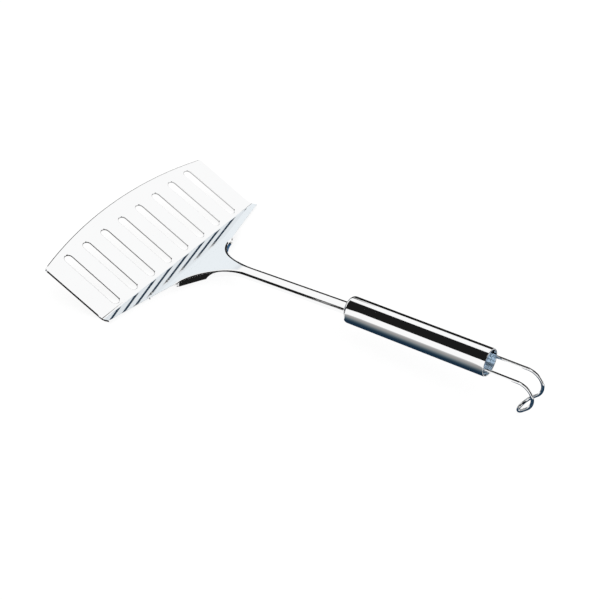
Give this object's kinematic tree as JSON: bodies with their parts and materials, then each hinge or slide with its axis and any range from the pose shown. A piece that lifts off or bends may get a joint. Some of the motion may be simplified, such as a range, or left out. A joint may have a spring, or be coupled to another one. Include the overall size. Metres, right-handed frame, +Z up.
{
  "type": "kitchen spatula",
  "caption": "Wide slotted steel kitchen spatula: one pressed sheet bent into blade, riser and flanged neck, a round tube handle and a curled wire loop to hang it by.",
  "frame": {"origin": "on the table, under the middle of the bounding box, with the spatula lying on its bend and on its loop", "axes": "+Y along the spatula from the blade to the loop, +Z up from the table, X across the blade"},
  "size_m": [0.1648, 0.3366, 0.0345],
  "materials": {
    "blade_steel": "polished sheet with fine grinding lines",
    "cap_steel": "satin turned face",
    "handle_steel": "mirror polished tube",
    "plug_steel": "satin turned face, slightly blue",
    "wire_steel": "bright drawn wire"
  },
  "bodies": {
    "root": {"blade": "blade_steel", "front_cap": "cap_steel", "handle_tube": "handle_steel", "rear_plug": "plug_steel", "hanging_loop": "wire_steel"}
  },
  "joints": []
}
